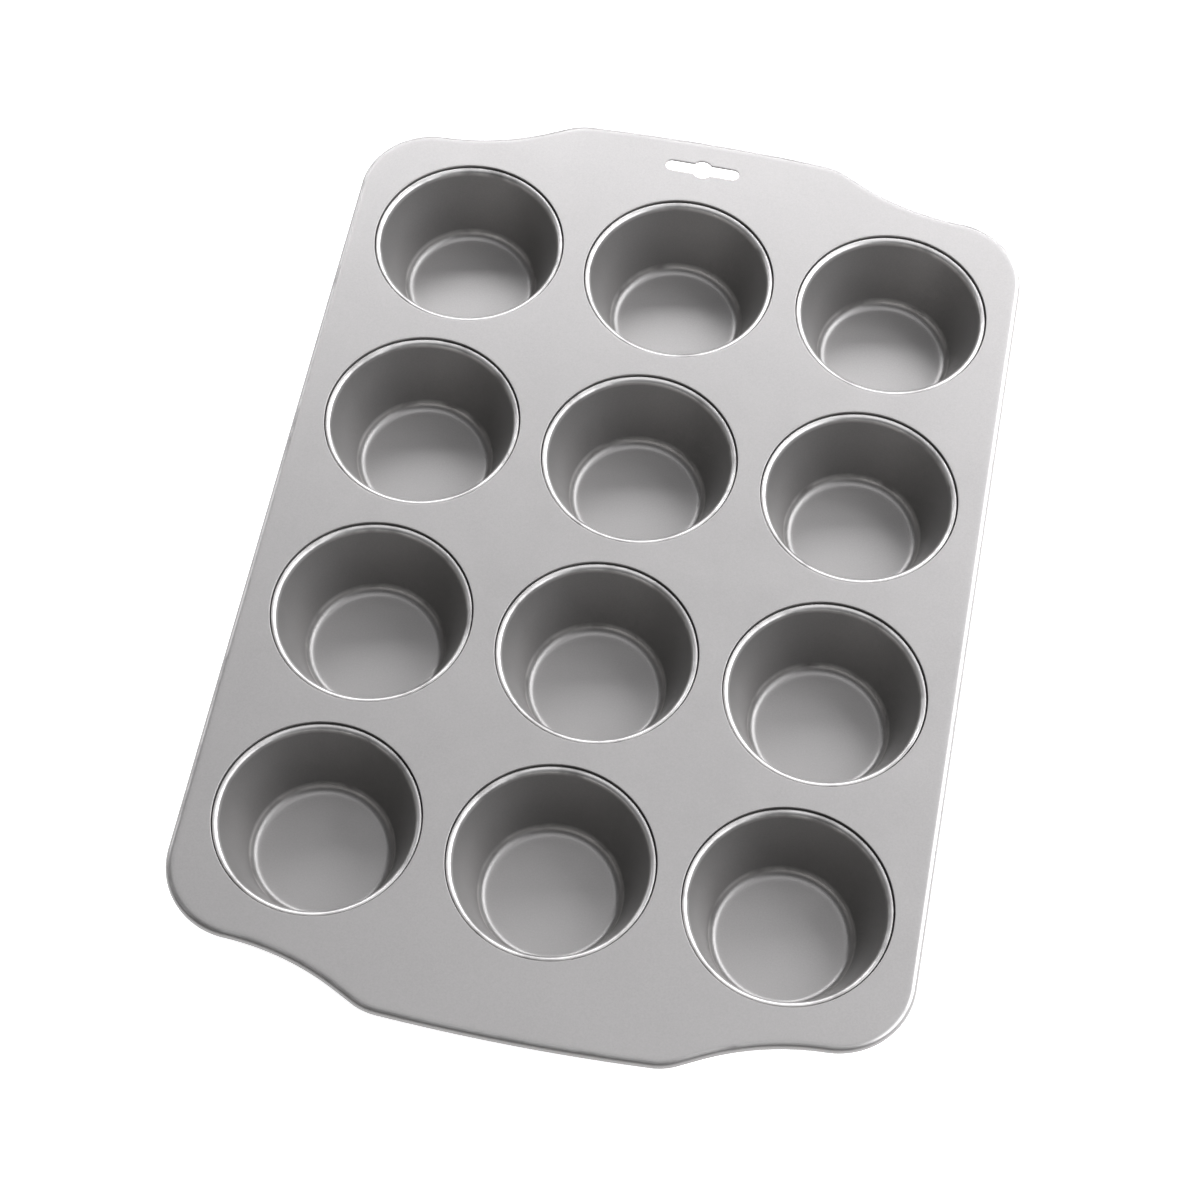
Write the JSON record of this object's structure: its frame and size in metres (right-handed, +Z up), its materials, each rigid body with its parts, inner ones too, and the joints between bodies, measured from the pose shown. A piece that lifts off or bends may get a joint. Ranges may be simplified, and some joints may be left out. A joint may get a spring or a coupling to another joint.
{
  "type": "muffin tin",
  "caption": "Muffin tin: a rolled-edge steel tray with bowed handle ends and separate tapered cups hemmed into its holes, for baking muffins.",
  "frame": {"origin": "centre of the tin in plan, on the surface that the cups' bottoms stand on", "axes": "+Z up; +Y along the tin's length, towards the handle with the hang slot; +X across it, to the right when that handle is away from the viewer"},
  "size_m": [0.25, 0.366, 0.0305],
  "materials": {
    "tray_coating": "satin",
    "cup_coating": "satin",
    "rim_wire_steel": "satin"
  },
  "bodies": {
    "root": {"tray_sheet": "tray_coating", "rim_wire": "rim_wire_steel", "cup_r1_c1": "cup_coating", "cup_r1_c2": "cup_coating", "cup_r1_c3": "cup_coating", "cup_r2_c1": "cup_coating", "cup_r2_c2": "cup_coating", "cup_r2_c3": "cup_coating", "cup_r3_c1": "cup_coating", "cup_r3_c2": "cup_coating", "cup_r3_c3": "cup_coating", "cup_r4_c1": "cup_coating", "cup_r4_c2": "cup_coating", "cup_r4_c3": "cup_coating"}
  },
  "joints": []
}
